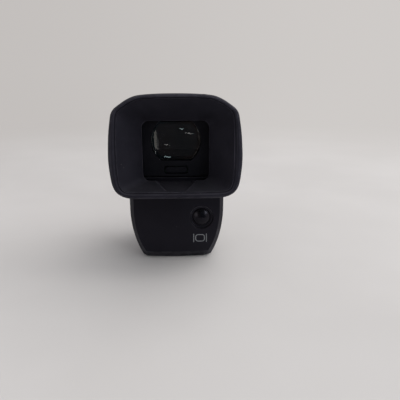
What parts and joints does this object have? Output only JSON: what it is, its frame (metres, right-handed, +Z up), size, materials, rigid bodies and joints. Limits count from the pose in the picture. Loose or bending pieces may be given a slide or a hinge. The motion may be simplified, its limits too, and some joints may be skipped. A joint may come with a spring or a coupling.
{
  "type": "electronic viewfinder",
  "caption": "Clip-on electronic eye-level viewfinder with a rubber eyecup, a tilting tube, a shoe foot and a rear control panel with a button.",
  "frame": {"origin": "centre of the underside of the shoe foot", "axes": "+Z up, +Y towards the front of the camera, the eyepiece faces -Y, +X right seen from behind"},
  "size_m": [0.0368, 0.0478, 0.0544],
  "materials": {
    "shell": "fine grained black",
    "rubber": "matt black",
    "gloss": "polished black",
    "inner": "plain black",
    "steel": "brushed",
    "foot": "satin",
    "contact": "plated",
    "board": "green lacquer",
    "flex": "amber film",
    "glass": "coated",
    "display": "polished",
    "white": "plain"
  },
  "bodies": {
    "base": {"base_flex": "flex", "base_housing": "shell", "button_switch": "inner", "control_board": "board", "foot_screw_1": "steel", "foot_screw_2": "steel", "foot_screw_3": "steel", "foot_screw_4": "steel", "hinge_bush_left": "steel", "hinge_bush_right": "steel", "hinge_cap_left": "shell", "hinge_cap_right": "shell", "hinge_clip_left": "steel", "hinge_clip_right": "steel", "hinge_washer_left": "steel", "hinge_washer_right": "steel", "lock_spring": "steel", "panel_screw_left": "steel", "panel_screw_right": "steel", "plug_contacts": "contact", "plug_insert": "inner", "plug_shell": "steel", "rear_panel": "shell", "shoe_foot": "foot"},
    "finder": {"tube_upper_shell": "shell", "tube_lower_shell": "shell", "front_cover": "shell", "tube_screw_1": "steel", "tube_screw_2": "steel", "tube_screw_3": "steel", "tube_screw_4": "steel", "eyepiece_frame": "inner", "eyepiece_lens": "glass", "sensor_window": "gloss", "sensor_board": "board", "optics_barrel": "inner", "display_holder": "inner", "display_panel": "display", "backlight": "white", "main_board": "board", "video_chip": "inner", "tube_flex": "flex"},
    "button": {"display_button": "gloss"},
    "slider": {"lock_slider": "shell"},
    "pin": {"lock_pin": "steel"},
    "dial": {"diopter_dial": "gloss"},
    "carriage": {"lens_carriage": "inner", "inner_lens_rear": "glass", "inner_lens_front": "glass"},
    "eyecup": {"eyecup": "rubber", "eyecup_clip": "inner"}
  },
  "joints": [
    {"name": "tube_tilt", "type": "hinge", "parent": "base", "child": "finder", "pos_m": [0, -0.0012, 0.0265], "axis": [-1, 0, 0], "range_deg": [0, 90]},
    {"name": "button_press", "type": "slide", "parent": "base", "child": "button", "axis": [0, 1, 0], "range_m": [0, 0.0005], "stiffness_N_per_m": 1600, "springref_m": -0.0003},
    {"name": "lock_slide", "type": "slide", "parent": "base", "child": "slider", "axis": [0, 1, 0], "range_m": [0, 0.0025]},
    {"name": "lock_pin_drop", "type": "slide", "parent": "base", "child": "pin", "axis": [0, 0, -1], "range_m": [0, 0.001], "deforming": ["lock_spring"]},
    {"name": "dial_turn", "type": "hinge", "parent": "finder", "child": "dial", "pos_m": [0.0152, -0.0174, 0.0285], "axis": [1, 0, 0], "range_deg": [-60, 60]},
    {"name": "carriage_slide", "type": "slide", "parent": "finder", "child": "carriage", "axis": [0, 1, 0], "range_m": [-0.00209, 0.00209]},
    {"name": "eyecup_pull", "type": "slide", "parent": "finder", "child": "eyecup", "axis": [0, -1, 0], "range_m": [0, 0.006]}
  ],
  "couplings": [
    {"joint": "lock_pin_drop", "follows": "lock_slide", "ratio": 0.4},
    {"joint": "dial_turn", "follows": "carriage_slide", "rad_per_m": 500}
  ]
}
